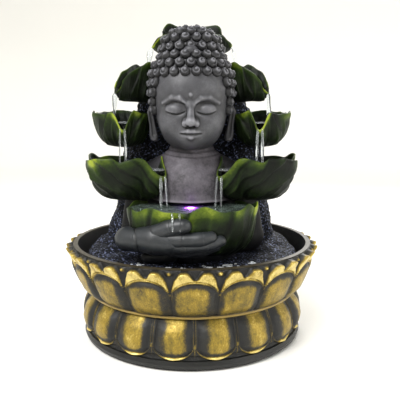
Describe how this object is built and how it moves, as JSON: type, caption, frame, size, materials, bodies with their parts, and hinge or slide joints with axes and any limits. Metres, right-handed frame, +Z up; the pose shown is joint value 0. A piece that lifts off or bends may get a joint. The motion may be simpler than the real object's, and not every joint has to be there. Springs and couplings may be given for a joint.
{
  "type": "tabletop water fountain",
  "caption": "Tabletop water fountain: round lotus-petal basin with a lift-off rockery, seated figure, cascading leaf bowls, a light and a small submersible pump.",
  "frame": {"origin": "under the middle of the round base, on the surface it stands on", "axes": "+Z up, -Y towards the front, where the figure faces, +X to the viewer's right"},
  "size_m": [0.209, 0.2099, 0.2615],
  "materials": {
    "black_resin": "matte",
    "gold_resin": "satin",
    "stone_resin": "satin",
    "leaf_resin": "satin",
    "foam": "matte",
    "black_rubber": "matte",
    "clear_tube": "gloss",
    "pump_plastic": "satin",
    "ceramic_shaft": "polished",
    "magnet": "satin",
    "stator_steel": "satin",
    "copper": "satin",
    "board": "satin",
    "led_light": "gloss"
  },
  "bodies": {
    "basin": {"base_pad": "foam", "basin_bowl": "black_resin", "cord_grommet": "black_rubber", "front_bush": "black_rubber", "impeller_cover": "pump_plastic", "lotus_pedestal": "black_resin", "lower_petals": "gold_resin", "pump_gland": "black_rubber", "pump_housing": "pump_plastic", "pump_seal_ring": "black_rubber", "rear_bush": "black_rubber", "rotor_shaft": "ceramic_shaft", "stator_coil": "copper", "stator_core": "stator_steel", "suction_cups": "black_rubber", "upper_petals": "gold_resin"},
    "statue": {"leaf_front": "leaf_resin", "leaf_lower_left": "leaf_resin", "leaf_lower_right": "leaf_resin", "leaf_middle_left": "leaf_resin", "leaf_middle_right": "leaf_resin", "leaf_top": "leaf_resin", "leaf_upper_left": "leaf_resin", "leaf_upper_right": "leaf_resin", "led_board": "board", "led_chips": "led_light", "led_housing": "pump_plastic", "led_lead": "black_rubber", "led_lens": "clear_tube", "led_plug": "pump_plastic", "led_plug_pins": "stator_steel", "rockery": "black_resin", "figure_torso": "stone_resin", "figure_head": "stone_resin", "cupped_hands": "stone_resin", "riser_tube": "clear_tube", "outlet_spout": "pump_plastic", "lead_clip": "pump_plastic"},
    "pump_rotor": {"impeller": "pump_plastic", "rotor_magnet": "magnet"},
    "intake_cover": {"intake_cover": "pump_plastic", "dial_washer": "stator_steel"},
    "flow_dial": {"flow_dial": "pump_plastic"}
  },
  "joints": [
    {"name": "statue_lift", "type": "slide", "parent": "basin", "child": "statue", "axis": [0, 0, 1], "range_m": [0, 0.12]},
    {"name": "rotor_spin", "type": "hinge", "parent": "basin", "child": "pump_rotor", "pos_m": [0, 0.03, 0.033], "axis": [0, 1, 0], "continuous": true},
    {"name": "cover_pull", "type": "slide", "parent": "basin", "child": "intake_cover", "axis": [0, -1, 0], "range_m": [0, 0.01]},
    {"name": "flow_dial_turn", "type": "hinge", "parent": "intake_cover", "child": "flow_dial", "pos_m": [0, 0.01, 0.033], "axis": [0, -1, 0], "range_deg": [0, 90]}
  ]
}
